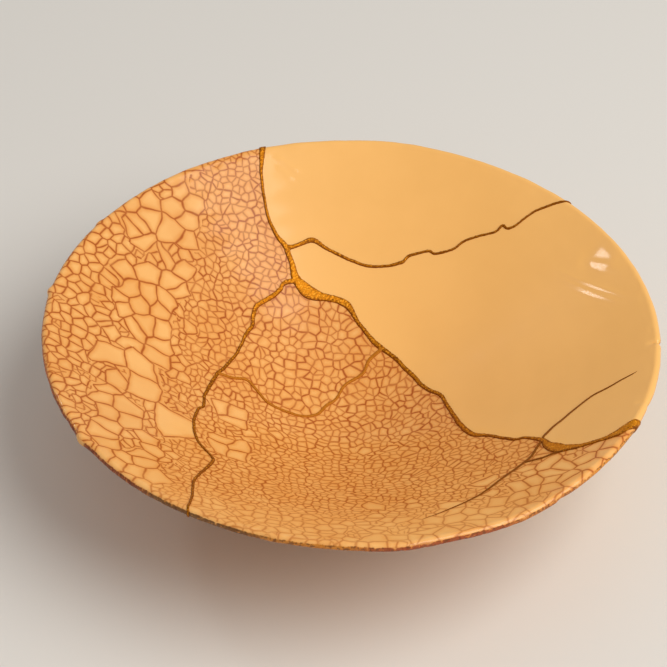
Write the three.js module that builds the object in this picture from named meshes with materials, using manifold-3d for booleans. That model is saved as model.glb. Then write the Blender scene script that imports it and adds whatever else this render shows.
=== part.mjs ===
// A shallow kintsugi bowl: five ceramic sherds held together by one network of gold lacquer.
// Millimetres, +Z up. The origin is the middle of the foot ring's resting face.
// +Y runs towards the back of the rim, and +X to the right.

import * as THREE from 'three';
import { mergeVertices } from 'three/addons/utils/BufferGeometryUtils.js';
import Module from 'manifold-3d';

// The bowl's body
const RIM_RADIUS = 90;          // outermost edge of the lip
const FLOOR_TOP = 7;            // height of the inside at its middle
const WALL_SLOPE = 0.61;        // rise over run of the nearly straight wall
const FLOOR_ROUNDING = 27;      // how wide the rounded bottom is, before the wall runs straight
const LIP_THICKNESS = 2.6;      // rounded over to a half circle
const WALL_THICKENING = 6;      // extra clay left round the foot, fading out towards the lip
const THICKENING_FADE = 1.5;    // a higher power thins the wall sooner
const INSIDE_RINGS = 9;         // steps of the profile up the inside
const OUTSIDE_RINGS = 7;        // steps down the outside, from lip to foot
const LIP_STEPS = 4;
const ROUND_STEPS = 72;         // steps round the bowl

// The turned foot ring
const FOOT_RADIUS = 29;
const FOOT_TOP_RADIUS = 31;     // where the ring runs into the wall
const FOOT_RING_WIDTH = 4.6;
const FOOT_CHAMFER = 0.7;
const FOOT_RECESS = 2.6;        // how far the middle of the underside lies above the resting face
const RECESS_DRAFT = 1;         // the recess narrows by this much on its way up

// The hand-made rim isn't a true circle. Each swell is
// [direction in degrees, half width in degrees, how far it stands out in millimetres].
const RIM_SWELLS = [
  [-80, 6, 0.9],
  [-59, 9, 0.8],
  [-37, 16, -0.5],
  [-118, 16, -0.55],
  [82, 8, 0.5],
  [116, 8, -0.4],
  [132, 20, -0.3],
  [172, 16, 0.3],
  // three drips of glaze that hang over the lip
  [172.5, 3, 0.8],
  [150, 2.5, 0.5],
  [-145, 3, 0.8],
];
const SWELL_REACH = 4;          // a higher power keeps the swells closer to the rim

// The breaks, as seen from above. Each point is [x, y, width of the lacquer there].
// A break that reaches the rim runs on past it.
const TOP_BREAK = [
  [-30, 94, 3.6], [-30, 86, 3], [-30, 80, 2], [-30, 77, 1.4], [-29.5, 72.5, 1.2], [-28, 65, 1.2],
  [-25, 58.5, 1.5], [-21, 54.5, 2.4],
];
const LONG_BREAK = [
  [-21, 54.5, 2.4], [-19.5, 50.5, 2], [-17.5, 45.5, 3], [-13.5, 43, 3.8], [-9, 41.5, 2.6],
  [-5, 41, 2.6], [-1.5, 39.5, 2.8], [0.5, 36.5, 1.6], [3.5, 32.5, 1.3], [8, 27.5, 1.8],
  [13, 23.3, 1.4], [18.5, 16.5, 1.4], [23, 10, 1.3], [27.5, 5.5, 1.2], [29.5, 0, 1.2],
  [34, -13, 2], [37, -18, 1.7], [41, -21, 1.2], [47.5, -27, 1.1], [51, -28.5, 1.1],
  [55, -32.5, 1.8], [57, -38, 3.6], [59.5, -40.5, 4], [63, -42, 2.4], [67, -42.8, 1.5],
  [71, -43, 2], [74.5, -42.4, 3.6], [78, -40.2, 3.8], [81.5, -38.8, 2.8], [88, -41, 2.2],
];
const BACK_BREAK = [
  [-21, 54.5, 1.6], [-17, 56.3, 1.4], [-13, 58.1, 2], [-8.5, 56, 1.3], [-2, 53.5, 1.2],
  [4, 51.6, 1.1], [10, 51.3, 1.1], [15, 52.1, 1.4], [17.5, 53.9, 1.1], [23, 54.5, 1],
  [25.5, 53.3, 1], [31, 54, 1], [35, 56, 1], [43.5, 56.6, 1], [46, 58, 1], [48.5, 56.5, 1],
  [56, 60, 1], [64, 60.5, 1], [75, 61.5, 1],
];
const LEFT_BREAK = [
  [-17.5, 45.5, 2], [-21.5, 43.5, 1.6], [-23, 40.8, 1.6], [-29, 35, 1.7], [-30.5, 31.2, 1.6],
  [-30.5, 28.2, 1.4], [-32.5, 23.5, 1.2], [-34.5, 17, 1], [-38, 9.5, 1.1], [-40, 6, 1.2],
];
const FRONT_BREAK = [
  [-40, 6, 1.2], [-41.5, 0.2, 1.3], [-43, -5.5, 1.1], [-43, -11, 1], [-44.5, -14, 1],
  [-45, -23, 1.1], [-43, -31.3, 1], [-39, -37.5, 1], [-38.5, -41, 1.2], [-41.3, -52, 1],
  [-42.4, -58, 1.1], [-42, -70, 1.1], [-42.5, -78, 1.1], [-42.5, -86, 1.1],
];
const INNER_BREAK = [
  [-40, 6, 1.2], [-35, 6.5, 1.1], [-30.8, 7.7, 1.2], [-26, 2.8, 1.2], [-23, 1, 1.2], [-15, 0, 1.1],
  [-9.5, 2.4, 1.1], [-7.3, 5.9, 1.2], [-4, 9.5, 1.1], [-1.5, 14.5, 1.1], [3.8, 18.3, 1.2],
  [5.5, 22.6, 1.3], [9.5, 26.3, 1.4],
];
const BREAKS = [TOP_BREAK, LONG_BREAK, BACK_BREAK, LEFT_BREAK, FRONT_BREAK, INNER_BREAK];
const END_STEPS = 4;            // steps of the half circle that rounds each end
const BREAK_LOW = -5;
const BREAK_HIGH = 60;

const SHERD_GAP = 0.3;          // clearance between the lacquer and each sherd
const LACQUER_PROUD = 0.25;     // the lacquer stands this far above the glaze
const LACQUER_LIFT = 0.2;       // it stays this far above the surface that the bowl stands on

// One point inside each sherd, seen from above
const SHERDS = {
  left_sherd: [-60, 20],
  back_sherd: [10, 75],
  right_sherd: [50, 20],
  centre_sherd: [-12, 25],
  front_sherd: [0, -40],
};
const PROBE_RADIUS = 2;

const CRACKLED_GLAZE = { color: 0xe4a362, roughness: 0.32, metalness: 0 };
const PLAIN_GLAZE = { color: 0xf0ba72, roughness: 0.35, metalness: 0 };
const GOLD_LACQUER = { color: 0xb87a20, roughness: 0.45, metalness: 0.9 };

const SHERD_LOOKS = {
  left_sherd: CRACKLED_GLAZE,
  back_sherd: PLAIN_GLAZE,
  right_sherd: PLAIN_GLAZE,
  centre_sherd: CRACKLED_GLAZE,
  front_sherd: CRACKLED_GLAZE,
};

const wasm = await Module();
wasm.setup();

// Height of the inside at a distance from the axis: a cone with a rounded point
function insideHeight(radius) {
  return FLOOR_TOP + WALL_SLOPE * (Math.hypot(radius, FLOOR_ROUNDING) - FLOOR_ROUNDING);
}

function wallAngle(radius) {
  return Math.atan(WALL_SLOPE * radius / Math.hypot(radius, FLOOR_ROUNDING));
}

// The point that lies a depth below the inside, square to it
function belowInside(radius, depth) {
  const angle = wallAngle(radius);
  return new THREE.Vector2(
    radius + depth * Math.sin(angle),
    insideHeight(radius) - depth * Math.cos(angle),
  );
}

function wallThickness(radius) {
  return LIP_THICKNESS + WALL_THICKENING * (1 - radius / RIM_RADIUS) ** THICKENING_FADE;
}

// The profile from the axis up the inside, over the lip, down the outside and under the foot.
// `proud` thickens it all over, and `lift` raises its resting face.
function bowlProfile(proud, lift) {
  const lipRadius = LIP_THICKNESS / 2;
  const edgeRadius = RIM_RADIUS - lipRadius * (1 + Math.sin(wallAngle(RIM_RADIUS)));
  const points = [];
  for (let step = 0; step <= INSIDE_RINGS; step += 1) {
    points.push(belowInside(edgeRadius * step / INSIDE_RINGS, -proud));
  }
  points[0].x = 0;
  const lowest = FOOT_TOP_RADIUS - wallThickness(FOOT_TOP_RADIUS) * Math.sin(wallAngle(FOOT_TOP_RADIUS));
  const lipMiddle = belowInside(edgeRadius, lipRadius);
  const lipStart = Math.PI / 2 + wallAngle(edgeRadius);
  for (let step = 1; step <= LIP_STEPS; step += 1) {
    const turn = lipStart - Math.PI * step / LIP_STEPS;
    const reach = lipRadius + proud;
    points.push(new THREE.Vector2(
      lipMiddle.x + reach * Math.cos(turn),
      lipMiddle.y + reach * Math.sin(turn),
    ));
  }
  for (let step = 1; step <= OUTSIDE_RINGS; step += 1) {
    const radius = THREE.MathUtils.lerp(edgeRadius, lowest, step / OUTSIDE_RINGS);
    points.push(belowInside(radius, wallThickness(radius) + proud));
  }
  return points.concat(footProfile(proud, lift));
}

// The foot ring's outside, its resting face and the recess inside it, back to the axis
function footProfile(proud, lift) {
  const ringInside = FOOT_RADIUS - FOOT_RING_WIDTH;
  const ceiling = FOOT_RECESS - proud;
  return [
    new THREE.Vector2(FOOT_RADIUS + proud, lift + FOOT_CHAMFER),
    new THREE.Vector2(FOOT_RADIUS + proud - FOOT_CHAMFER, lift),
    new THREE.Vector2(ringInside - proud + FOOT_CHAMFER, lift),
    new THREE.Vector2(ringInside - proud, lift + FOOT_CHAMFER),
    new THREE.Vector2(ringInside - proud - RECESS_DRAFT, ceiling),
    new THREE.Vector2(0, ceiling),
  ];
}

// How far the rim stands out from its true circle in a direction
function rimSwell(direction) {
  let swell = 0;
  for (const [middle, halfWidth, height] of RIM_SWELLS) {
    const away = THREE.MathUtils.euclideanModulo(direction - middle + 180, 360) - 180;
    swell += height * Math.exp(-((away / halfWidth) ** 2));
  }
  return swell;
}

function turnedBowl(proud, lift) {
  const upwards = bowlProfile(proud, lift).reverse();   // turned this way, the faces point out
  const geometry = new THREE.LatheGeometry(upwards, ROUND_STEPS);
  geometry.rotateX(Math.PI / 2);
  const position = geometry.attributes.position;
  for (let index = 0; index < position.count; index += 1) {
    const x = position.getX(index);
    const y = position.getY(index);
    const radius = Math.hypot(x, y);
    const direction = THREE.MathUtils.radToDeg(Math.atan2(y, x));
    const grown = 1 + rimSwell(direction) / RIM_RADIUS * (radius / RIM_RADIUS) ** SWELL_REACH;
    position.setXY(index, x * grown, y * grown);
  }
  return toSolid(geometry);
}

// A closed three.js geometry as a manifold solid
function toSolid(geometry) {
  const bare = geometry.clone();
  bare.deleteAttribute('normal');
  bare.deleteAttribute('uv');
  const merged = mergeVertices(bare, 1e-4);
  const corners = merged.index.array;
  const triangles = [];
  for (let start = 0; start < corners.length; start += 3) {
    const [a, b, c] = corners.slice(start, start + 3);
    if (a !== b && b !== c && c !== a) triangles.push(a, b, c);
  }
  return new wasm.Manifold(new wasm.Mesh({
    numProp: 3,
    vertProperties: new Float32Array(merged.attributes.position.array),
    triVerts: new Uint32Array(triangles),
  }));
}

function toMesh(name, solid, look) {
  const { vertProperties, triVerts } = solid.getMesh();
  const geometry = new THREE.BufferGeometry();
  geometry.setAttribute('position', new THREE.BufferAttribute(vertProperties, 3));
  geometry.setIndex(new THREE.BufferAttribute(triVerts, 1));
  geometry.computeVertexNormals();
  const mesh = new THREE.Mesh(geometry, new THREE.MeshStandardMaterial(look));
  mesh.name = name;
  return mesh;
}

// An upright wall that follows one break, as wide as its lacquer plus `extra` on each side.
// A smooth curve through the break's points gives the direction in which it runs at each.
function breakWall(route, extra) {
  const points = route.map(([x, y, width]) => new THREE.Vector3(x, y, width / 2 + extra));
  const curve = new THREE.CatmullRomCurve3(points, false, 'centripetal');
  const last = points.length - 1;
  const left = [];
  const right = [];
  points.forEach(({ x, y, z: halfWidth }, index) => {
    const ahead = curve.getTangent(index / last).setZ(0).normalize();
    const side = new THREE.Vector2(-ahead.y, ahead.x).multiplyScalar(halfWidth);
    left.push(new THREE.Vector2(x + side.x, y + side.y));
    right.push(new THREE.Vector2(x - side.x, y - side.y));
  });
  const outline = new THREE.Shape([
    ...right,
    ...roundEnd(right[last], left[last]),
    ...left.toReversed(),
    ...roundEnd(left[0], right[0]),
  ]);
  const geometry = new THREE.ExtrudeGeometry(outline, {
    depth: BREAK_HIGH - BREAK_LOW,
    bevelEnabled: false,
  });
  geometry.translate(0, 0, BREAK_LOW);
  return toSolid(geometry);
}

// Points on the half circle from one side of a break's end to the other
function roundEnd(from, to) {
  const middle = from.clone().add(to).multiplyScalar(0.5);
  const points = [];
  for (let step = 1; step < END_STEPS; step += 1) {
    points.push(from.clone().rotateAround(middle, Math.PI * step / END_STEPS));
  }
  return points;
}

function allBreaks(extra) {
  return BREAKS.map((route) => breakWall(route, extra)).reduce((all, wall) => all.add(wall));
}

function probeAt([x, y]) {
  const geometry = new THREE.CylinderGeometry(PROBE_RADIUS, PROBE_RADIUS, BREAK_HIGH, 8);
  geometry.rotateX(Math.PI / 2);
  geometry.translate(x, y, BREAK_HIGH / 2);
  return toSolid(geometry);
}

const group = new THREE.Group();

const brokenPieces = turnedBowl(0, 0).subtract(allBreaks(SHERD_GAP)).decompose();
for (const [name, place] of Object.entries(SHERDS)) {
  const probe = probeAt(place);
  const sherd = brokenPieces.find((piece) => !piece.intersect(probe).isEmpty());
  group.add(toMesh(name, sherd, SHERD_LOOKS[name]));
}

const lacquer = turnedBowl(LACQUER_PROUD, LACQUER_LIFT).intersect(allBreaks(0));
group.add(toMesh('gold_lacquer', lacquer, GOLD_LACQUER));

export default group;
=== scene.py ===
"""A shallow kintsugi bowl: five glazed sherds and the gold lacquer that mends them.

Metres, +Z up. The origin is the middle of the foot's resting face, +Y runs to the back of the
rim and +X to the right. Routes on the bowl are given in millimetres, as seen from above.
"""

import math

import bmesh
import bpy
import numpy as np
from mathutils import Matrix, Vector, kdtree, noise


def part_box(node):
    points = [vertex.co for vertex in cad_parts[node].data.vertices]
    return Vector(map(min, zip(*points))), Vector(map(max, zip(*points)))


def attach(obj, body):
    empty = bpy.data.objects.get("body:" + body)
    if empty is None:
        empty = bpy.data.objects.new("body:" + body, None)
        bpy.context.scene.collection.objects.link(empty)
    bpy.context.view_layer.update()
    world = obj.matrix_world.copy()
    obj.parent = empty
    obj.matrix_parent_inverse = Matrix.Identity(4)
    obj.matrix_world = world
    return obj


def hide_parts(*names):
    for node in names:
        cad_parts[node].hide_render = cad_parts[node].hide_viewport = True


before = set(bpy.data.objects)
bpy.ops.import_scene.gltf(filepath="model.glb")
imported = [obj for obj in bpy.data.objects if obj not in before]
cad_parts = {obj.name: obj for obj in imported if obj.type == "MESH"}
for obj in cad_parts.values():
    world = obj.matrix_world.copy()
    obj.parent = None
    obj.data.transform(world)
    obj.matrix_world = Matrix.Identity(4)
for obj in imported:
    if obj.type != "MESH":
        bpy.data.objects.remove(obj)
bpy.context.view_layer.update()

MM = 0.001

# The bowl's body
RIM_RADIUS = 90 * MM
WALL_SLOPE = 0.61
FLOOR_ROUNDING = 27 * MM
LIP_RADIUS = 1.3 * MM
WALL_THICKENING = 6 * MM
THICKENING_FADE = 1.5
LIP_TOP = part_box("front_sherd")[1].z

# The turned foot ring
FOOT_RADIUS = 29 * MM
FOOT_TOP_RADIUS = 31 * MM
FOOT_RING_WIDTH = 4.6 * MM
FOOT_CHAMFER = 0.7 * MM
FOOT_RECESS = 2.6 * MM
RECESS_DRAFT = 1 * MM
FOOT_TOP = 9 * MM

# How finely it is modelled
ROUND_STEPS = 720
SECTORS = 24                    # one sector is spun first, and then copied round
RING_STEP = 1.2 * MM
FINE_RING_STEP = 0.45 * MM
FINE_BAND = 6 * MM
FOLDED_BAND = 26 * MM           # the inside is finer further down, for the folds in its glaze
LIP_STEPS = 10

# The hand-made rim: direction and half width in degrees, and how far it stands out
RIM_SWELLS = [
    (-80, 6, 0.9 * MM),
    (-59, 9, 0.8 * MM),
    (-37, 16, -0.5 * MM),
    (-118, 16, -0.55 * MM),
    (82, 8, 0.5 * MM),
    (116, 8, -0.4 * MM),
    (132, 20, -0.3 * MM),
    (172, 16, 0.3 * MM),
    (172.5, 1.1, 0.9 * MM),
    (150.5, 1.1, 0.6 * MM),
    (-145.2, 1.6, 0.9 * MM),
]
SWELL_REACH = 4

# The breaks, in millimetres: x, y and the width of the lacquer there
TOP_BREAK = [
    (-30, 94, 3.6), (-30, 86, 3), (-30, 80, 2), (-30, 77, 1.4), (-29.5, 72.5, 1.2), (-28, 65, 1.2),
    (-25, 58.5, 1.5), (-21, 54.5, 2.4),
]
LONG_BREAK = [
    (-21, 54.5, 2.4), (-19.5, 50.5, 2.2), (-17.6, 45.6, 3.6), (-14.6, 42.8, 5.4),
    (-11.5, 41.8, 4.4), (-8.5, 41.4, 2.8),
    (-5, 41, 2.6), (-1.5, 39.5, 2.8), (0.5, 36.5, 1.8), (3.5, 32.5, 1.5), (8, 27.5, 1.9),
    (13, 23.3, 1.5), (18.5, 16.5, 1.6), (23, 10, 1.5), (27.5, 5.5, 1.4), (29.5, 0, 1.4),
    (34, -13, 2), (37, -18, 2), (41, -21, 1.4), (47.5, -27, 1.3), (51, -28.5, 1.3),
    (55, -32.5, 2), (56.3, -35.6, 3), (57.8, -38.6, 5), (60, -41, 5), (62.8, -42.2, 3.2),
    (66, -42.8, 2),
    (71, -43, 2), (74.5, -42.4, 3.6), (78, -40.2, 3.8), (81.5, -38.8, 2.8), (88, -41, 2.2),
]
BACK_BREAK = [
    (-21, 54.5, 1.6), (-17, 56.3, 1.4), (-13, 58.1, 1.9), (-8.5, 56, 1.2), (-2, 53.5, 1.1),
    (4, 51.6, 1), (10, 51.3, 0.9), (15, 52.1, 1.2), (17.5, 53.9, 1), (23, 54.5, 0.85),
    (25.5, 53.3, 0.9), (31, 54, 0.8), (35, 56, 0.8), (43.5, 56.6, 0.8), (46, 58, 0.95),
    (48.5, 56.5, 0.8), (56, 60, 0.8), (64, 60.5, 0.8), (75, 61.5, 0.8),
]
LEFT_BREAK = [
    (-17.5, 45.5, 2), (-21.5, 43.5, 1.6), (-23, 40.8, 1.6), (-29, 35, 1.7), (-30.5, 31.2, 1.6),
    (-30.5, 28.2, 1.4), (-32.5, 23.5, 1.2), (-34.5, 17, 1), (-38, 9.5, 1.1), (-40, 6, 1.2),
]
FRONT_BREAK = [
    (-40, 6, 1.2), (-41.5, 0.2, 1.3), (-43, -5.5, 1.1), (-43, -11, 1), (-44.5, -14, 1),
    (-45, -23, 1.1), (-43, -31.3, 1), (-39, -37.5, 1), (-38.5, -41, 1.2), (-41.3, -52, 1),
    (-42.4, -58, 1), (-42, -70, 0.9), (-42.5, -78, 0.85), (-42.5, -86, 0.85),
]
INNER_BREAK = [
    (-40, 6, 1.2), (-35, 6.5, 1.1), (-30.8, 7.7, 1.2), (-26, 2.8, 1.2), (-23, 1, 1.2),
    (-15, 0, 1.1), (-9.5, 2.4, 1.1), (-7.3, 5.9, 1.2), (-4, 9.5, 1.1), (-1.5, 14.5, 1.1),
    (3.8, 18.3, 1.2), (5.5, 22.6, 1.3), (9.5, 26.3, 1.4),
]
BREAKS = [TOP_BREAK, LONG_BREAK, BACK_BREAK, LEFT_BREAK, FRONT_BREAK, INNER_BREAK]

# Fine cracks that don't go through the wall, filled with a thread of lacquer
HAIRLINES = [
    [
        (55.4, -32.4, 0.8), (56.2, -30.1, 0.8), (61.2, -25, 0.7), (68.5, -19.2, 0.6),
        (74.6, -17, 0.55), (80.6, -15, 0.4), (82.4, -14.3, 0.1),
    ],
    [
        (55, -32.4, 0.8), (52.5, -38.7, 0.8), (49.8, -42.7, 0.8), (43.3, -49.6, 0.75),
        (37, -57.5, 0.65), (28.5, -65, 0.45), (20.8, -71, 0.1),
    ],
    [(64, -43.4, 0.8), (58.5, -42.4, 0.8), (54.6, -43.2, 0.7), (50, -42.9, 0.6)],
]

STEPS_PER_POINT = 6
BREAK_WANDER = 0.22 * MM        # how far a break strays from its smooth route
BREAK_WANDER_SCALE = 3.2 * MM
BREAK_LOW = -5 * MM              # the walls that cut the bowl run past it below and above
BREAK_HEIGHT = LIP_TOP + 10 * MM
CUT_SHARE = 0.55                # the sherds stand this share of the lacquer's width apart
LACQUER_SHARE = 0.78            # the lacquer's own width, before it is smoothed
LACQUER_PROUD = 0.36 * MM
LACQUER_DEPTH = 0.4 * MM
LACQUER_GRAIN = 0.19 * MM       # how finely it is modelled on the inside
OUTSIDE_GRAIN = 0.33 * MM       # and on the outside
LACQUER_SMOOTHING = 5
CORE_SHARE = 0.4                # how deep in the wall the outside's lacquer starts
LIFT = 0.15 * MM                # keeps the lacquer under the foot off what the bowl stands on

# One point inside each sherd, in millimetres
SHERDS = {
    "left_sherd": (-60, 20),
    "back_sherd": (10, 75),
    "right_sherd": (50, 20),
    "centre_sherd": (-12, 25),
    "front_sherd": (0, -40),
}


# ---- The profile ----------------------------------------------------------------------------


def wall_angle(radius):
    return math.atan(WALL_SLOPE * radius / math.hypot(radius, FLOOR_ROUNDING))


def rise(radius):
    """How far the inside has climbed above its middle at a distance from the axis."""
    return WALL_SLOPE * (math.hypot(radius, FLOOR_ROUNDING) - FLOOR_ROUNDING)


EDGE_RADIUS = RIM_RADIUS - LIP_RADIUS * (1 + math.sin(wall_angle(RIM_RADIUS)))
LIP_MIDDLE_RADIUS = EDGE_RADIUS + LIP_RADIUS * math.sin(wall_angle(EDGE_RADIUS))
LIP_MIDDLE_HEIGHT = LIP_TOP - LIP_RADIUS
FLOOR_TOP = LIP_MIDDLE_HEIGHT + LIP_RADIUS * math.cos(wall_angle(EDGE_RADIUS)) - rise(EDGE_RADIUS)


def below_inside(radius, depth):
    """The radius and height of the point that lies a depth below the inside, square to it."""
    angle = wall_angle(radius)
    return (
        radius + depth * math.sin(angle),
        FLOOR_TOP + rise(radius) - depth * math.cos(angle),
    )


def wall_thickness(radius):
    return 2 * LIP_RADIUS + WALL_THICKENING * (1 - radius / RIM_RADIUS) ** THICKENING_FADE


def ring_radii(inner, outer, fine_band=FINE_BAND):
    """Radii from inner to outer, closer together in the band that ends at outer."""
    coarse = np.arange(inner, outer - fine_band, RING_STEP)
    fine = np.arange(outer - fine_band, outer, FINE_RING_STEP)
    return [*coarse, *fine, outer]


def inside_line(proud):
    """The inside's profile from the axis to the lip, and over it."""
    radii = ring_radii(0, EDGE_RADIUS, FOLDED_BAND)
    points = [below_inside(radius, -proud) for radius in radii]
    points[0] = (0, points[0][1])
    start = math.pi / 2 + wall_angle(EDGE_RADIUS)
    for step in range(1, LIP_STEPS + 1):
        turn = start - math.pi * step / LIP_STEPS
        points.append((
            LIP_MIDDLE_RADIUS + (LIP_RADIUS + proud) * math.cos(turn),
            LIP_MIDDLE_HEIGHT + (LIP_RADIUS + proud) * math.sin(turn),
        ))
    return points


def core_line():
    """A line inside the wall, from the axis to the lip, that the outside lacquer reaches in to."""
    return [(0, FLOOR_TOP - MM)] + [
        below_inside(radius, CORE_SHARE * wall_thickness(radius))
        for radius in ring_radii(RING_STEP, EDGE_RADIUS)
    ]


def outside_line(proud, lift):
    """The outside's profile from the lip down to the foot and under it to the axis."""
    lowest = FOOT_TOP_RADIUS - wall_thickness(FOOT_TOP_RADIUS) * math.sin(wall_angle(FOOT_TOP_RADIUS))
    points = [
        below_inside(radius, wall_thickness(radius) + proud)
        for radius in reversed(ring_radii(lowest, EDGE_RADIUS))
    ]
    ring_inside = FOOT_RADIUS - FOOT_RING_WIDTH
    ceiling = FOOT_RECESS - proud
    corners = [
        points[-1],
        (FOOT_RADIUS + proud, lift + FOOT_CHAMFER),
        (FOOT_RADIUS + proud - FOOT_CHAMFER, lift),
        (ring_inside - proud + FOOT_CHAMFER, lift),
        (ring_inside - proud, lift + FOOT_CHAMFER),
        (ring_inside - proud - RECESS_DRAFT, ceiling),
        (0, ceiling),
    ]
    for start, end in zip(corners, corners[1:]):
        steps = max(1, round(math.dist(start, end) / RING_STEP))
        for step in range(1, steps + 1):
            share = step / steps
            points.append(tuple(a + (b - a) * share for a, b in zip(start, end)))
    return points


# ---- Turning, and what the hand, the kiln and wear did to it ---------------------------------


def new_piece(name, mesh):
    piece = bpy.data.objects.new(name, mesh)
    bpy.context.scene.collection.objects.link(piece)
    return piece


def turned(name, profile):
    """A closed solid: the profile, which starts and ends on the axis, spun once round."""
    bm = bmesh.new()
    points = [bm.verts.new((radius, 0, height)) for radius, height in profile]
    for start, end in zip(points, points[1:]):
        bm.edges.new((start, end))
    spin(bm, math.tau / SECTORS, ROUND_STEPS // SECTORS, use_duplicate=False)
    spin(bm, math.tau, SECTORS, use_duplicate=True)
    bmesh.ops.remove_doubles(bm, verts=bm.verts, dist=0.002 * MM)
    bmesh.ops.recalc_face_normals(bm, faces=bm.faces)
    mesh = bpy.data.meshes.new(name)
    bm.to_mesh(mesh)
    bm.free()
    shape_by_hand(mesh)
    return new_piece(name, mesh)


def spin(bm, angle, steps, use_duplicate):
    bmesh.ops.spin(
        bm, geom=bm.verts[:] + bm.edges[:] + bm.faces[:], cent=(0, 0, 0), axis=(0, 0, 1),
        dvec=(0, 0, 0), angle=angle, steps=steps, use_merge=False, use_duplicate=use_duplicate,
    )


def points_of(mesh):
    places = np.empty(len(mesh.vertices) * 3, np.float32)
    mesh.vertices.foreach_get("co", places)
    return places.reshape(-1, 3).astype(float)


def put_points(mesh, places):
    mesh.vertices.foreach_set("co", places.astype(np.float32).ravel())
    mesh.update()


def rim_swell(direction):
    """How far the rim stands out from its true circle, for an array of directions in degrees."""
    swell = np.zeros_like(direction)
    for middle, half_width, height in RIM_SWELLS:
        swell += height * np.exp(-((turn_from(direction, middle) / half_width) ** 2))
    return swell


def turn_from(direction, middle):
    """The turn from one direction to others, from -180 to 180 degrees."""
    return (direction - middle + 180) % 360 - 180


def smooth_noise(places, scale, seed):
    """Noise from -1 to 1 whose lumps are about as large as scale, one value for each place."""
    shift = Vector((seed * 7.1, seed * 3.7, seed * 1.3))
    return np.array([noise.noise(Vector(place) / scale + shift) for place in places])


def step_up(values, low, high):
    """Rises smoothly from 0 at low to 1 at high."""
    share = np.clip((values - low) / (high - low), 0, 1)
    return share * share * (3 - 2 * share)


WALL_UNEVENNESS = 0.22 * MM
UNEVEN_SCALE = 38 * MM
THROWING_RING_HEIGHT = 0.012 * MM
THROWING_RING_SPACING = 7 * MM
# Shallow dents in the inside, in millimetres: x, y, radius, depth
DENTS = [(-34, 80, 8, -0.2), (20, 20, 16, 0.15)]
# A flat place beside the folds, tilted off the wall: x, y, size in millimetres and slope
FACET = (75, 37, 5.5, 0.085)
# Low folds in the glaze, in millimetres: both ends, half width, height
FOLDS = [
    ((60, 39.7), (85, 15.9), 0.75, 0.17),
    ((60, 37.4), (83, 14.5), 0.7, 0.14),
    ((70, 38.6), (81.5, 29.3), 1.2, 0.1),
    ((-27, 82), (-17, 77.5), 0.8, 0.16),
    ((-26, 79), (-19, 75), 0.7, 0.1),
]
LIP_WEAR = 0.2 * MM
LIP_WEAR_SCALE = 1.1 * MM
LIP_WAVE = 0.12 * MM
LIP_WAVE_SCALE = 5 * MM
LIP_BAND = 2.2 * MM
ROUGH_SIDE = -88                # the lip is roughest around this direction, in degrees
ROUGH_HALF_WIDTH = 62
SMOOTH_SHARE = 0.35             # and this share as rough elsewhere
# Chips out of the lip: direction in degrees, size and depth in millimetres
CHIPS = [(-2.6, 0.7, 0.7), (-49.6, 1.6, 0.35), (-151, 1.2, 0.3), (-20, 1, 0.3)]


def shape_by_hand(mesh):
    """Takes a turned mesh off true: an uneven wall, a swollen rim, dents, folds and a worn lip."""
    places = points_of(mesh)
    radius = np.hypot(places[:, 0], places[:, 1])
    direction = np.degrees(np.arctan2(places[:, 1], places[:, 0]))
    grown = growth(direction, radius)
    above_middle = places[:, 2] > FLOOR_TOP + rise_of(radius) - LIP_RADIUS
    wear_lip(places, radius, grown)
    places[:, :2] *= grown[:, None]
    flat = places * (1, 1, 0)
    free_of_foot = step_up(radius, FOOT_TOP_RADIUS, 45 * MM)
    lift = smooth_noise(flat, UNEVEN_SCALE, 1) * WALL_UNEVENNESS * free_of_foot
    lift += np.where(above_middle, inside_relief(flat, radius), 0)
    places[:, 2] += lift
    put_points(mesh, places)


def growth(direction, radius):
    """How many times a ring has grown, by direction, to make the rim swell."""
    return 1 + rim_swell(direction) / RIM_RADIUS * (radius / RIM_RADIUS) ** SWELL_REACH


def rise_of(radius):
    return WALL_SLOPE * (np.hypot(radius, FLOOR_ROUNDING) - FLOOR_ROUNDING)


def inside_relief(flat, radius):
    relief = THROWING_RING_HEIGHT * np.sin(math.tau * radius / THROWING_RING_SPACING)
    for x, y, size, depth in DENTS:
        away = np.hypot(flat[:, 0] - x * MM, flat[:, 1] - y * MM) / (size * MM)
        relief -= depth * MM * np.exp(-away**2)
    x, y, size, slope = FACET
    away = np.hypot(flat[:, 0] - x * MM, flat[:, 1] - y * MM) / (size * MM)
    relief += slope * (flat[:, 0] - x * MM) * np.exp(-away**4)
    for start, end, half_width, height in FOLDS:
        away, along = from_line(flat, start, end)
        ends = step_up(along, 0, 0.3) * step_up(1 - along, 0, 0.3)
        relief += height * MM * np.exp(-((away / (half_width * MM)) ** 2)) * ends
    return relief


def from_line(flat, start, end):
    """How far each place lies from a straight line, and how far along it from 0 to 1."""
    origin = np.array(start) * MM
    run = np.array(end) * MM - origin
    away = flat[:, :2] - origin
    along = away @ run / (run @ run)
    return (away[:, 0] * run[1] - away[:, 1] * run[0]) / np.hypot(*run), along


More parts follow.
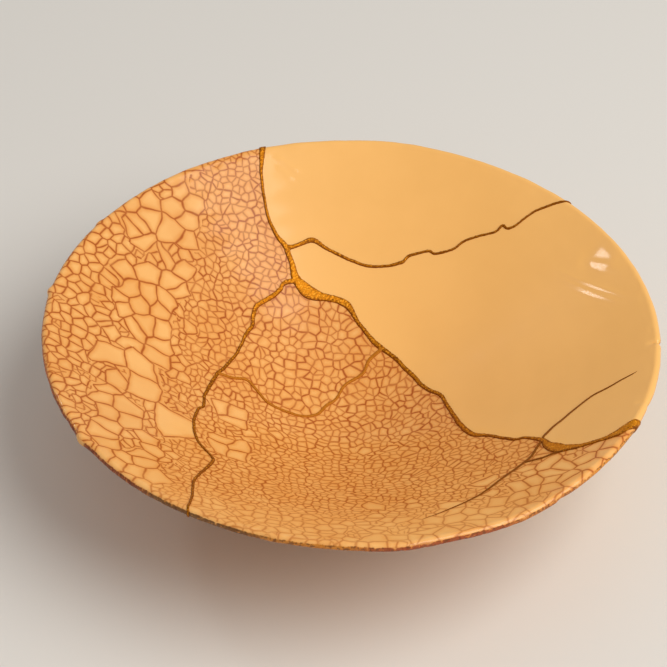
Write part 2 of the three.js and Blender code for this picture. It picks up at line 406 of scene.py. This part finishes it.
def wear_lip(places, radius, grown):
    """Rubs small hollows into the lip, towards the middle of its round."""
    outward = np.stack([radius - LIP_MIDDLE_RADIUS, places[:, 2] - LIP_MIDDLE_HEIGHT], 1)
    reach = np.hypot(outward[:, 0], outward[:, 1])
    on_lip = 1 - step_up(reach, LIP_RADIUS + 0.5 * MM, LIP_RADIUS + LIP_BAND)
    near = on_lip > 0
    wear = np.zeros(len(places))
    worn = smooth_noise(places[near], LIP_WEAR_SCALE, 2)
    wave = smooth_noise(places[near], LIP_WAVE_SCALE, 3)
    direction = np.degrees(np.arctan2(places[near, 1], places[near, 0]))
    rough = np.exp(-((turn_from(direction, ROUGH_SIDE) / ROUGH_HALF_WIDTH) ** 4))
    rough = SMOOTH_SHARE + (1 - SMOOTH_SHARE) * rough
    hollow = rough * LIP_WEAR * np.maximum(worn, 0) + LIP_WAVE * wave
    for middle, size, depth in CHIPS:
        away = np.radians(turn_from(direction, middle)) * RIM_RADIUS / (size * MM)
        hollow += depth * MM * np.exp(-away**2)
    wear[near] = hollow * on_lip[near]
    inward = -outward / np.maximum(reach, 0.2 * MM)[:, None] * wear[:, None]
    around = places[:, :2] / np.maximum(radius, MM)[:, None]
    places[:, :2] += around * inward[:, :1]
    places[:, 2] += inward[:, 1]


# ---- The breaks ------------------------------------------------------------------------------


def smooth_route(route, steps_per_point=STEPS_PER_POINT):
    """A smooth curve through a route's points, with a little of a real crack's wander."""
    points = np.array(route) * MM
    padded = np.vstack([2 * points[0] - points[1], points, 2 * points[-1] - points[-2]])
    smooth = []
    for before, start, end, after in zip(padded, padded[1:], padded[2:], padded[3:]):
        for share in np.arange(steps_per_point) / steps_per_point:
            smooth.append(
                0.5 * (
                    2 * start
                    + (end - before) * share
                    + (2 * before - 5 * start + 4 * end - after) * share**2
                    + (3 * start - before - 3 * end + after) * share**3
                )
            )
    smooth.append(points[-1])
    smooth = np.array(smooth)
    flat = smooth * (1, 1, 0)
    smooth[:, 0] += BREAK_WANDER * smooth_noise(flat, BREAK_WANDER_SCALE, 4)
    smooth[:, 1] += BREAK_WANDER * smooth_noise(flat, BREAK_WANDER_SCALE, 5)
    return smooth


def break_wall(route, share):
    """An upright wall along a break, as wide as a share of its lacquer."""
    line = smooth_route(route)
    ahead = np.gradient(line[:, :2], axis=0)
    ahead /= np.hypot(ahead[:, 0], ahead[:, 1])[:, None]
    half_width = line[:, 2] * share / 2
    line[0, :2] -= ahead[0] * half_width[0]
    line[-1, :2] += ahead[-1] * half_width[-1]
    side = np.stack([-ahead[:, 1], ahead[:, 0]], 1) * half_width[:, None]
    last = len(line) - 1
    bm = bmesh.new()
    bmesh.ops.create_grid(bm, x_segments=last, y_segments=1, size=0.5)
    for vert in bm.verts:
        step = round((vert.co.x + 0.5) * last)
        place = line[step, :2] + side[step] * (1 if vert.co.y > 0 else -1)
        vert.co = (*place, BREAK_LOW)
    raised = bmesh.ops.extrude_face_region(bm, geom=bm.faces[:])["geom"]
    upper = [part for part in raised if isinstance(part, bmesh.types.BMVert)]
    bmesh.ops.translate(bm, verts=upper, vec=(0, 0, BREAK_HEIGHT))
    bmesh.ops.recalc_face_normals(bm, faces=bm.faces)
    mesh = bpy.data.meshes.new("break_wall")
    bm.to_mesh(mesh)
    bm.free()
    return new_piece("break_wall", mesh)


def boolean(piece, operation, tools):
    for tool in tools:
        modifier = piece.modifiers.new(operation.lower(), "BOOLEAN")
        modifier.operation = operation
        modifier.solver = "MANIFOLD"
        modifier.object = tool
    settle(piece)
    for tool in tools:
        bpy.data.objects.remove(tool)
    return piece


def settle(piece):
    """Makes a piece's modifiers permanent."""
    graph = bpy.context.evaluated_depsgraph_get()
    mesh = bpy.data.meshes.new_from_object(piece.evaluated_get(graph))
    piece.modifiers.clear()
    piece.data = mesh


def all_breaks(share):
    """Every break's wall, joined into one solid."""
    first, *others = [break_wall(route, share) for route in BREAKS]
    return boolean(first, "UNION", others)


def loose_parts(piece):
    bpy.ops.object.select_all(action="DESELECT")
    piece.select_set(True)
    bpy.context.view_layer.objects.active = piece
    bpy.ops.mesh.separate(type="LOOSE")
    return list(bpy.context.selected_objects)


def make_sherds():
    bowl = turned("bowl", inside_line(0) + outside_line(0, 0))
    parts = loose_parts(boolean(bowl, "DIFFERENCE", [all_breaks(CUT_SHARE)]))
    sherds = {}
    for name, (x, y) in SHERDS.items():
        found = min(parts, key=lambda part: nearest(part, x * MM, y * MM))
        found.name = found.data.name = name.replace("sherd", "glazed_sherd")
        sherds[name] = found
    for part in parts:
        if part not in sherds.values():
            bpy.data.objects.remove(part)
    for sherd in sherds.values():
        lay_out_glaze(sherd.data)
        sherd.data.shade_smooth()
        sherd.data.set_sharp_from_angle(angle=math.radians(40))
    return sherds


def nearest(part, x, y):
    places = points_of(part.data)
    return np.hypot(places[:, 0] - x, places[:, 1] - y).min()


# ---- The glaze's own map -----------------------------------------------------------------------

GLAZE_MAP = "glaze_map"
LIP = "lip"                     # 1 along the outer edge of the lip, falling to 0 beside it
LIP_FADE = 2 * MM
LIP_MARK_SIDE = -12                 # which way round the lip's section its wear, stains and painted shade lie, in degrees above level
LIP_MARK_SPREAD = (30, 84)          # and how far round from there they start to fade and end
OUTSIDE_SHIFT = 0.4             # the outside's map lies this far to the side of the inside's


def lay_out_glaze(mesh):
    """Maps the glaze flat, in metres: distance along the wall from the middle, and direction."""
    radii = np.linspace(0, 100 * MM, 400)
    slopes = WALL_SLOPE * radii / np.hypot(radii, FLOOR_ROUNDING)
    lengths = np.concatenate([[0], np.cumsum(np.diff(radii) * np.hypot(1, slopes[1:]))])
    places = points_of(mesh)
    corners = np.empty(len(mesh.loops), np.int32)
    mesh.loops.foreach_get("vertex_index", corners)
    starts = np.empty(len(mesh.polygons), np.int32)
    mesh.polygons.foreach_get("loop_start", starts)
    counts = np.empty(len(mesh.polygons), np.int32)
    mesh.polygons.foreach_get("loop_total", counts)
    direction = np.degrees(np.arctan2(places[:, 1], places[:, 0]))
    radius = np.hypot(places[:, 0], places[:, 1])
    radius = radius / growth(direction, radius)
    outward, upward = radius - LIP_MIDDLE_RADIUS, places[:, 2] - LIP_MIDDLE_HEIGHT
    round_lip = np.abs(turn_from(np.degrees(np.arctan2(upward, outward)), LIP_MARK_SIDE))
    off_lip = step_up(np.hypot(outward, upward), LIP_RADIUS, LIP_RADIUS + LIP_FADE)
    mark(mesh, LIP, (1 - step_up(round_lip, *LIP_MARK_SPREAD)) * (1 - off_lip))
    depth = FLOOR_TOP + rise_of(radius) - places[:, 2]
    face_depth = np.add.reduceat(depth[corners], starts) / counts
    outside = np.repeat(face_depth > LIP_RADIUS, counts)
    length = np.interp(radius, radii, lengths)[corners]
    length = length + np.where(outside, np.minimum(places[corners, 2], FOOT_TOP), 0)
    share = length / np.maximum(radius[corners], 0.01 * MM)
    flat = places[corners, :2] * share[:, None]
    flat[:, 0] += np.where(outside, OUTSIDE_SHIFT, 0)
    layer = mesh.uv_layers.new(name=GLAZE_MAP)
    layer.data.foreach_set("uv", flat.astype(np.float32).ravel())


# ---- The gold lacquer --------------------------------------------------------------------------

GRANULE_HEIGHT = 0.075 * MM
GRANULE_SIZE = 0.55 * MM
FROM_EDGE = "from_edge"         # how far inside a seam's edge, in millimetres
THIN = "thin"                   # 1 on the seam inside the crackled glaze, where the gold is scant
ALONG_STEPS = 24


def lacquer_skin(name, outer, inner, grain):
    """The lacquer that shows on one face of the wall, between two profiles."""
    skin = turned(name, outer + inner[::-1])
    boolean(skin, "INTERSECT", [all_breaks(LACQUER_SHARE)])
    remesh = skin.modifiers.new("even_out", "REMESH")
    remesh.mode = "VOXEL"
    remesh.voxel_size = grain
    smooth = skin.modifiers.new("flow", "SMOOTH")
    smooth.factor = 0.5
    smooth.iterations = LACQUER_SMOOTHING
    settle(skin)
    roughen(skin.data)
    skin.data.shade_smooth()
    return skin


def roughen(mesh):
    """Gives the lacquer its granules, and marks how near each point lies to a seam's edge."""
    seams = [smooth_route(route, ALONG_STEPS) for route in BREAKS]
    samples = np.vstack(seams)
    tree = kdtree.KDTree(len(samples))
    for index, (x, y, width) in enumerate(samples):
        tree.insert((x, y, 0), index)
    tree.balance()
    places = points_of(mesh)
    from_edge = np.empty(len(places))
    thin = np.empty(len(places))
    for index, (x, y, z) in enumerate(places):
        _, sample, distance = tree.find((x, y, 0))
        from_edge[index] = (LACQUER_SHARE * samples[sample, 2] / 2 - distance) / MM
        thin[index] = sample >= len(samples) - len(seams[-1])
    mark(mesh, FROM_EDGE, from_edge)
    mark(mesh, THIN, thin)
    normals = np.empty(len(places) * 3, np.float32)
    mesh.vertices.foreach_get("normal", normals)
    grain = smooth_noise(places, GRANULE_SIZE, 6) + 0.6 * smooth_noise(places, 2 * GRANULE_SIZE, 7)
    put_points(mesh, places + normals.reshape(-1, 3) * (grain * GRANULE_HEIGHT)[:, None])


def mark(mesh, name, values):
    """Keeps one value for each point, for the finish to read."""
    attribute = mesh.attributes.new(name, "FLOAT", "POINT")
    attribute.data.foreach_set("value", values.astype(np.float32))


def make_lacquer():
    """The lacquer on the inside and over the lip, on the outside, and within the wall."""
    inside = lacquer_skin(
        "gold_seams_inside", inside_line(LACQUER_PROUD), inside_line(-LACQUER_DEPTH), LACQUER_GRAIN
    )
    outside = lacquer_skin(
        "gold_seams_outside", core_line(), outside_line(LACQUER_PROUD, LIFT)[::-1], OUTSIDE_GRAIN
    )
    return [inside, outside]


def make_hairlines(sherds):
    """Threads of lacquer in the cracks that only mark the glaze, laid on the sherds."""
    bpy.context.view_layer.update()
    curve = bpy.data.curves.new("gold_hairlines", "CURVE")
    curve.dimensions = "3D"
    curve.bevel_depth = 1
    curve.bevel_resolution = 3
    curve.use_fill_caps = True
    for route in HAIRLINES:
        on_glaze = []
        for x, y, width in smooth_route(route):
            height = glaze_height(sherds, x, y)
            if height:
                on_glaze.append((x, y, height, width / 2))
        spline = curve.splines.new("POLY")
        spline.points.add(len(on_glaze) - 1)
        for point, (x, y, height, radius) in zip(spline.points, on_glaze):
            point.co = (x, y, height, 1)
            point.radius = radius
    thread = new_piece("gold_hairlines", curve)
    graph = bpy.context.evaluated_depsgraph_get()
    mesh = bpy.data.meshes.new_from_object(thread.evaluated_get(graph))
    bpy.data.objects.remove(thread)
    mesh.shade_smooth()
    return new_piece("gold_hairlines", mesh)


def glaze_height(sherds, x, y):
    """How high the glaze is, or 0 where there is none."""
    heights = [0]
    for sherd in sherds.values():
        found, place, _, _ = sherd.ray_cast(Vector((x, y, 2 * LIP_TOP)), Vector((0, 0, -1)))
        if found:
            heights.append(place.z)
    return max(heights)


# ---- Finishes ------------------------------------------------------------------------------------


class Value:
    """What a node gives out, ready to be used in a sum."""

    def __init__(self, finish, socket):
        self.finish = finish
        self.socket = socket

    def __add__(self, other):
        return self.finish.maths("ADD", self, other)

    def __sub__(self, other):
        return self.finish.maths("SUBTRACT", self, other)

    def __rsub__(self, other):
        return self.finish.maths("SUBTRACT", other, self)

    def __mul__(self, other):
        return self.finish.maths("MULTIPLY", self, other)

    def __lt__(self, other):
        return self.finish.maths("LESS_THAN", self, other)

    __radd__ = __add__
    __rmul__ = __mul__


class Finish:
    """A material whose nodes are added one at a time."""

    def __init__(self, name, **constants):
        self.material = bpy.data.materials.new(name)
        self.material.use_nodes = True
        self.tree = self.material.node_tree
        self.shader = self.tree.nodes["Principled BSDF"]
        for socket, value in constants.items():
            self.shader.inputs[socket.replace("_", " ")].default_value = value

    def node(self, kind, settings, inputs, output=0):
        node = self.tree.nodes.new("ShaderNode" + kind)
        for setting, value in settings.items():
            setattr(node, setting, value)
        self.feed(node, inputs)
        return Value(self, node.outputs[output])

    def feed(self, node, inputs):
        for name, value in inputs.items():
            if isinstance(value, Value):
                self.tree.links.new(value.socket, node.inputs[name])
            else:
                node.inputs[name].default_value = value

    def maths(self, operation, *values):
        return self.node("Math", {"operation": operation}, dict(enumerate(values)))

    def vector(self, operation, *values, output=0):
        return self.node("VectorMath", {"operation": operation}, dict(enumerate(values)), output)

    def step(self, value, low, high):
        """Rises smoothly from 0 at low to 1 at high."""
        return self.node(
            "MapRange", {"interpolation_type": "SMOOTHSTEP"},
            {"Value": value, "From Min": low, "From Max": high},
        )

    def blend(self, share, first, second):
        """The first colour where share is 0, the second where it is 1."""
        settings = {"data_type": "RGBA"}
        return self.node("Mix", settings, {0: share, 6: first, 7: second}, output=2)

    def noise(self, place, scale, detail=2, flat=False):
        settings = {"noise_dimensions": "2D" if flat else "3D"}
        return self.node("TexNoise", settings, {"Vector": place, "Scale": 1 / scale, "Detail": detail})

    def object_place(self):
        return self.node("TexCoord", {}, {}, output=3)

    def other_output(self, value, output):
        return Value(self, value.socket.node.outputs[output])

    def part(self, vector, axis):
        return self.node("SeparateXYZ", {}, {"Vector": vector}, output=axis)


def paint(red, green, blue):
    """A colour as the eye reads it, from 0 to 255, turned into light."""
    shares = (red / 255, green / 255, blue / 255)
    light = [s / 12.92 if s <= 0.04045 else ((s + 0.055) / 1.055) ** 2.4 for s in shares]
    return (*light, 1)


GLOSS = {"Specular_IOR_Level": 0.2, "Coat_Weight": 0.35, "Coat_Roughness": 0.09}
GLAZE_LIGHT = paint(244, 185, 110)
GLAZE_DEEP = paint(238, 174, 98)
GLAZE_PLAIN = paint(246, 188, 108)
GLAZE_PLAIN_DEEP = paint(242, 184, 104)
STAIN = paint(222, 138, 48)
CRACK = paint(170, 80, 2)
BARE_CLAY = paint(176, 112, 66)
LIP_WARM = paint(224, 156, 80)
LIP_DARK = paint(84, 36, 6)
# Where the lip is stained, x, y and reach in millimetres, and the colour; the two darkest, at the
# front left, also paint shade on the lip's outer face
LIP_TINTS_AND_SHADE = [
    (-90, 0, 42, paint(186, 92, 38)),
    (-70, -57, 28, paint(132, 44, 10)),
    (-34, -83, 24, paint(108, 66, 18)),
    (-6, -90, 18, paint(196, 118, 24)),
    (30, -85, 26, paint(156, 58, 18)),
    (60, -67, 20, paint(190, 108, 36)),
    (80, -41, 26, paint(212, 136, 40)),
]
PLAIN_TINTS = [(90.5, -3.5, 4, paint(170, 92, 24))]
# Pale runs of glaze that stand out from the lip: x, y and reach in millimetres
LIP_RUNS = [(-89.5, 11.7, 2), (-78.5, 44.5, 1.6), (-74.2, -51.5, 2.2)]
GOLD = paint(206, 128, 16)
GOLD_DARK = paint(134, 72, 2)
GOLD_BRIGHT = paint(244, 172, 52)
GOLD_THIN = paint(186, 112, 22)
LACQUER_BROWN = paint(118, 66, 10)

# How cracks bend as they run, and a distance that stands for none at all
CRACK_BEND = 5 * MM
CRACK_BEND_SCALE = 15 * MM
NO_CRACK = 1.0
OLD_CRACKS = 11 * MM            # how far apart the first, strongest cracks run
SLIVER = 0.01                  # how far off a crack is put that would leave a sliver


def cells(finish, place, size, feature="F1"):
    """The cell at a place, or with F2 the next nearest: a lot that is random, and a middle."""
    settings = {"voronoi_dimensions": "2D", "feature": feature}
    inputs = {"Vector": place, "Scale": 1 / size, "Randomness": 0.88}
    lot = finish.node("TexVoronoi", settings, inputs, output=1)
    return lot, finish.other_output(lot, 2)


def whole(finish, cell, calm):
    """1 where a cell of one generation was never split by the next."""
    lot, middle = cell
    return finish.part(lot, 0) < calm(finish, middle)


def inside_whole(finish, place, generations):
    """1 where a place lies in a whole cell of any of these generations."""
    inside = 0
    for size, calm in generations:
        cell = cells(finish, place, size * MM)
        inside = finish.maths("MAXIMUM", inside, whole(finish, cell, calm))
    return inside


def cracks(finish, place, generations):
    """The distance to the nearest crack, and 1 along the first and strongest ones.

    Each generation is a size of cell and the places where its cells were never split again.
    Only cells whose middle lies among the split ones count, so no slivers are left.
    """
    wander = finish.node(
        "TexNoise", {"noise_dimensions": "2D"},
        {"Vector": place, "Scale": 1 / CRACK_BEND_SCALE, "Detail": 2}, output=1,
    )
    wander = finish.vector("SUBTRACT", wander, (0.5, 0.5, 0.5))
    bent = finish.vector("MULTIPLY_ADD", wander, (CRACK_BEND, CRACK_BEND, 0), place)
    nearest_crack = NO_CRACK
    closed = 0
    for count, (size, calm) in enumerate(generations):
        edge = finish.node(
            "TexVoronoi", {"voronoi_dimensions": "2D", "feature": "DISTANCE_TO_EDGE"},
            {"Vector": bent, "Scale": 1 / (size * MM), "Randomness": 0.88},
        )
        sides = [cells(finish, bent, size * MM, feature) for feature in ("F1", "F2")]
        true = [1 - inside_whole(finish, middle, generations[:count]) for lot, middle in sides]
        hidden = closed
        if calm:
            kept = [share * whole(finish, side, calm) for share, side in zip(true, sides)]
            hidden = finish.maths("MAXIMUM", hidden, 1 - finish.maths("MAXIMUM", *kept))
            closed = finish.maths("MAXIMUM", closed, kept[0])
        elif count:
            beside = finish.step(nearest_crack, 0.5 * size * MM, 0.3 * size * MM)
            hidden = finish.maths("MAXIMUM", hidden, (1 - true[0] * true[1]) * beside * SLIVER)
        nearest_crack = finish.maths("MINIMUM", nearest_crack, edge * size * MM + hidden * NO_CRACK)
    lots = [
        finish.part(cells(finish, middle, OLD_CRACKS)[0], 1)
        for lot, middle in sides
    ]
    old = finish.step(finish.maths("ABSOLUTE", lots[0] - lots[1]), 0, 0.01)
    return nearest_crack, finish.maths("MAXIMUM", closed, old)


def circle(finish, place, x, y, radius):
    """1 at the middle of a circle given in millimetres, falling off to 0 past its edge."""
    distance = finish.vector("DISTANCE", place, (x * MM, y * MM, 0), output=1)
    return finish.step(distance, radius * 1.25 * MM, radius * 0.75 * MM)


def most(finish, *values):
    total = values[0]
    for value in values[1:]:
        total = finish.maths("MAXIMUM", total, value)
    return total


def left_largest(finish, place):
    spots = [(-67, 62, 7), (-71, -9, 6), (-55, -31, 6), (-60, -52, 5)]
    return most(finish, *[circle(finish, place, *spot) for spot in spots])


def left_large(finish, place):
    """The large cells stand in a band down the middle of the sherd."""
    away = finish.maths("ABSOLUTE", finish.part(place, 0) + 67 * MM)
    return finish.step(away, 15 * MM, 9 * MM) * 0.8


def left_medium(finish, place):
    return finish.step(finish.part(place, 0), -50 * MM, -60 * MM) * 0.85


def front_large(finish, place):
    towards_right = finish.part(place, 0) - finish.part(place, 1)
    spots = [(-38, -11, 5), (-37, -29, 5), (10, -65, 4)]
    return most(
        finish, finish.step(towards_right, 92 * MM, 112 * MM) * 0.7,
        *[circle(finish, place, *spot) for spot in spots],
    )


def front_medium(finish, place):
    """Cells grow again towards the front rim."""
    return most(finish, finish.step(finish.part(place, 1), -66 * MM, -80 * MM) * 0.7, 0.03)


def worn_and_shaded_edges(finish, colour, roughness, tints, reach):
    """Bare clay under the foot, and a lip that use has stained and rubbed, with painted shade on the
    lip's outer face at the front left.

    Reach is how far from the lip's edge the stain and painted shade spread, as a share of its fading
    band.
    """
    place = finish.object_place()
    flat = finish.vector("MULTIPLY", place, (1, 1, 0))
    lip = finish.node("Attribute", {"attribute_name": LIP}, {}, output=2)
    speckle = finish.noise(place, 0.9 * MM, detail=3)
    patches = finish.noise(place, 5 * MM, detail=1)
    # the lip's colour: real stains and wear, and at the front left painted shade on its outer face
    worn = LIP_WARM
    for x, y, radius, tint in tints:
        worn = finish.blend(circle(finish, flat, x, y, radius), worn, tint)
    if tints is LIP_TINTS_AND_SHADE:
        worn = finish.blend(finish.step(speckle, 0.5, 0.6) * 0.75, worn, LIP_DARK)
        worn = finish.blend(finish.step(speckle, 0.42, 0.36) * 0.6, worn, STAIN)
        runs = most(finish, *[circle(finish, flat, *run) for run in LIP_RUNS])
        worn = finish.blend(runs * 0.9, worn, GLAZE_LIGHT)
    edge = lip + ((speckle - 0.5) * 1.4 + (patches - 0.5) * 1.2) * reach
    share = finish.step(edge, 0.85 - reach * 0.6, 1.1 - reach * 0.5)
    # lays the lip's stains, wear and, on the crackled sherds, painted shade over the glaze
    colour = finish.blend(share * (0.55 + reach * 0.7), colour, worn)
    bare = finish.step(finish.part(place, 2), 0.9 * MM, 0.4 * MM)
    colour = finish.blend(bare, colour, BARE_CLAY)
    return colour, roughness + bare * 0.4 + share * 0.25


def crackled_glaze(name, generations):
    """Cream glaze crazed all over, its cracks stained red-brown."""
    finish = Finish(name, **GLOSS)
    place = finish.node("UVMap", {"uv_map": GLAZE_MAP}, {})
    crack, old = cracks(finish, place, generations)
    cloud = finish.noise(place, 16 * MM, detail=2, flat=True)
    strength = finish.noise(place, 4 * MM, detail=3, flat=True)
    body = finish.blend(finish.step(cloud, 0.3, 0.7), GLAZE_DEEP, GLAZE_LIGHT)
    clear = 1 - finish.step(finish.part(place, 1), -58 * MM, -84 * MM) * 0.4
    stain = finish.step(crack, 2 * MM, 0)
    colour = finish.blend(stain * (0.3 + strength * 0.6) * clear, body, STAIN)
    line = finish.step(crack, (0.46 + old * 0.1) * MM, 0) * clear
    colour = finish.blend(line * (0.35 + strength * 0.7 + old * 0.25), colour, CRACK)
    colour, roughness = worn_and_shaded_edges(finish, colour, 0.36 + line * 0.2, LIP_TINTS_AND_SHADE, reach=0.5)
    bump = finish.node("Bump", {}, {"Strength": 0.15, "Distance": 0.1 * MM, "Height": strength})
    finish.feed(finish.shader, {"Base Color": colour, "Roughness": roughness, "Normal": bump})
    return finish.material


def plain_glaze():
    """Smooth cream glaze with slow shifts of tone."""
    finish = Finish("plain_glaze", **GLOSS)
    place = finish.object_place()
    cloud = finish.noise(place, 30 * MM, detail=3)
    mottle = finish.noise(place, 4 * MM, detail=3)
    share = finish.step(cloud + (mottle - 0.5) * 0.15, 0.3, 0.7)
    colour = finish.blend(share, GLAZE_PLAIN_DEEP, GLAZE_PLAIN)
    colour, roughness = worn_and_shaded_edges(finish, colour, 0.34 + mottle * 0.08, PLAIN_TINTS, reach=0.12)
    bump = finish.node("Bump", {}, {"Strength": 0.15, "Distance": 0.1 * MM, "Height": mottle})
    finish.feed(finish.shader, {"Base Color": colour, "Roughness": roughness, "Normal": bump})
    return finish.material


def gold_lacquer():
    """Gold powder on lacquer: granular, brighter on top from painted light, darkened along its edges
    by painted shade, rubbed where thin.
    """
    finish = Finish("gold_lacquer", Specular_IOR_Level=0.15)
    place = finish.object_place()
    grain = finish.noise(place, 0.5 * MM, detail=2)
    tone = finish.noise(place, 5 * MM, detail=2)
    inner = finish.node("Attribute", {"attribute_name": FROM_EDGE}, {}, output=2)
    thin = finish.node("Attribute", {"attribute_name": THIN}, {}, output=2)
    # painted light: the gold is lighter towards the middle of each seam, where the bead's top catches
    # light
    painted_bead_light = finish.step(inner, 0.05, 1.3)
    shine = grain + tone * 0.3 + painted_bead_light * 0.3
    colour = finish.blend(finish.step(shine, 0.5, 0.9), GOLD_DARK, GOLD)
    colour = finish.blend(finish.step(grain, 0.56, 0.7) * (0.4 + painted_bead_light), colour, GOLD_BRIGHT)
    # painted shade: the gold is darker along each seam's edges, for the dark its bevelled sides
    # reflect
    colour = finish.blend(finish.step(inner, 0.3, 0) * 0.7, colour, GOLD_DARK)
    colour = finish.blend(thin * 0.8, colour, GOLD_THIN)
    metal = (0.35 + tone * 0.5) * (1 - thin * 0.7)
    bump = finish.node("Bump", {}, {"Strength": 0.5, "Distance": 0.12 * MM, "Height": grain})
    finish.feed(finish.shader, {
        "Base Color": colour, "Roughness": 0.36 + grain * 0.3, "Metallic": metal, "Normal": bump,
    })
    return finish.material


def dark_lacquer():
    """Lacquer rubbed into a fine crack, with next to no gold left on it."""
    finish = Finish("dark_lacquer", Specular_IOR_Level=0.1, Roughness=0.5)
    grain = finish.noise(finish.object_place(), 0.6 * MM, detail=2)
    colour = finish.blend(finish.step(grain, 0.4, 0.75), LACQUER_BROWN, GOLD_DARK)
    finish.feed(finish.shader, {"Base Color": colour})
    return finish.material


def make_glazes():
    plain = plain_glaze()
    left = [(11.5, left_largest), (6.5, left_large), (3.9, left_medium), (2.5, None)]
    centre = [(2.9, None)]
    front = [(6, front_large), (3.9, front_medium), (2.5, None)]
    return {
        "left_sherd": crackled_glaze("crackled_glaze_left", left),
        "centre_sherd": crackled_glaze("crackled_glaze_centre", centre),
        "front_sherd": crackled_glaze("crackled_glaze_front", front),
        "back_sherd": plain,
        "right_sherd": plain,
    }


# ---- The piece, the room and the camera ------------------------------------------------------------


def dress(piece, material, slot, *nodes):
    piece.data.materials.clear()
    piece.data.materials.append(material)
    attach(piece, "root")
    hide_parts(*nodes)


def make_bowl():
    sherds = make_sherds()
    glazes = make_glazes()
    for name, sherd in sherds.items():
        slot = "plain_glaze" if name in ("back_sherd", "right_sherd") else "crackled_glaze"
        dress(sherd, glazes[name], slot, name)
    gold = gold_lacquer()
    for seams in make_lacquer():
        dress(seams, gold, "gold_lacquer", "gold_lacquer")
    dress(make_hairlines(sherds), dark_lacquer(), "gold_lacquer", "gold_lacquer")


def make_floor():
    bm = bmesh.new()
    bmesh.ops.create_grid(bm, x_segments=1, y_segments=1, size=3)
    mesh = bpy.data.meshes.new("floor")
    bm.to_mesh(mesh)
    bm.free()
    floor = new_piece("floor", mesh)
    finish = Finish("floor_paint", Base_Color=(0.72, 0.7, 0.67, 1), Roughness=0.8)
    mesh.materials.append(finish.material)


DAYLIGHT = (1, 0.97, 0.92)
ROOM_COLOUR = (1, 0.97, 0.93, 1)
ROOM_BRIGHTNESS = 0.42


def area_light(name, place, size, power):
    light = bpy.data.lights.new(name, "AREA")
    light.shape = "DISK"
    light.size = size
    light.energy = power
    light.color = DAYLIGHT
    lamp = bpy.data.objects.new(name, light)
    bpy.context.scene.collection.objects.link(lamp)
    lamp.location = place
    lamp.rotation_euler = (Vector((0, 0, 0.03)) - Vector(place)).to_track_quat("-Z", "Y").to_euler()


def light_room():
    world = bpy.data.worlds.new("room")
    world.use_nodes = True
    world.node_tree.nodes["Background"].inputs["Color"].default_value = ROOM_COLOUR
    world.node_tree.nodes["Background"].inputs["Strength"].default_value = ROOM_BRIGHTNESS
    bpy.context.scene.world = world
    area_light("overhead", (0.7, -0.3, 1), 1.1, 13)
    area_light("window", (-1.264, 0.907, 1.245), 0.2, 1.9)
    bpy.context.scene.view_settings.view_transform = "Standard"


CAMERA_ELEVATION = math.radians(40.9)
CAMERA_DISTANCE = 8 * RIM_RADIUS
CAMERA_ROLL = math.radians(1.3)
CAMERA_LENS = 133.1
AIM_LEFT = 5.3 * MM
AIM_DOWN = 2.2 * MM


def set_camera():
    """Looks down on the rim from the front, a little off its middle and slightly rolled."""
    data = bpy.data.cameras.new("camera")
    data.lens = CAMERA_LENS
    data.clip_start = 0.05
    camera = bpy.data.objects.new("camera", data)
    bpy.context.scene.collection.objects.link(camera)
    away = Vector((0, -math.cos(CAMERA_ELEVATION), math.sin(CAMERA_ELEVATION)))
    up = Vector((0, math.sin(CAMERA_ELEVATION), math.cos(CAMERA_ELEVATION)))
    rim_middle = Vector((0, 0, LIP_MIDDLE_HEIGHT))
    place = rim_middle + away * CAMERA_DISTANCE
    aim = rim_middle - Vector((AIM_LEFT, 0, 0)) - up * AIM_DOWN
    turn = (aim - place).to_track_quat("-Z", "Y").to_matrix().to_4x4()
    camera.matrix_world = Matrix.Translation(place) @ turn @ Matrix.Rotation(CAMERA_ROLL, 4, "Z")
    bpy.context.scene.camera = camera


make_bowl()
make_floor()
light_room()
set_camera()
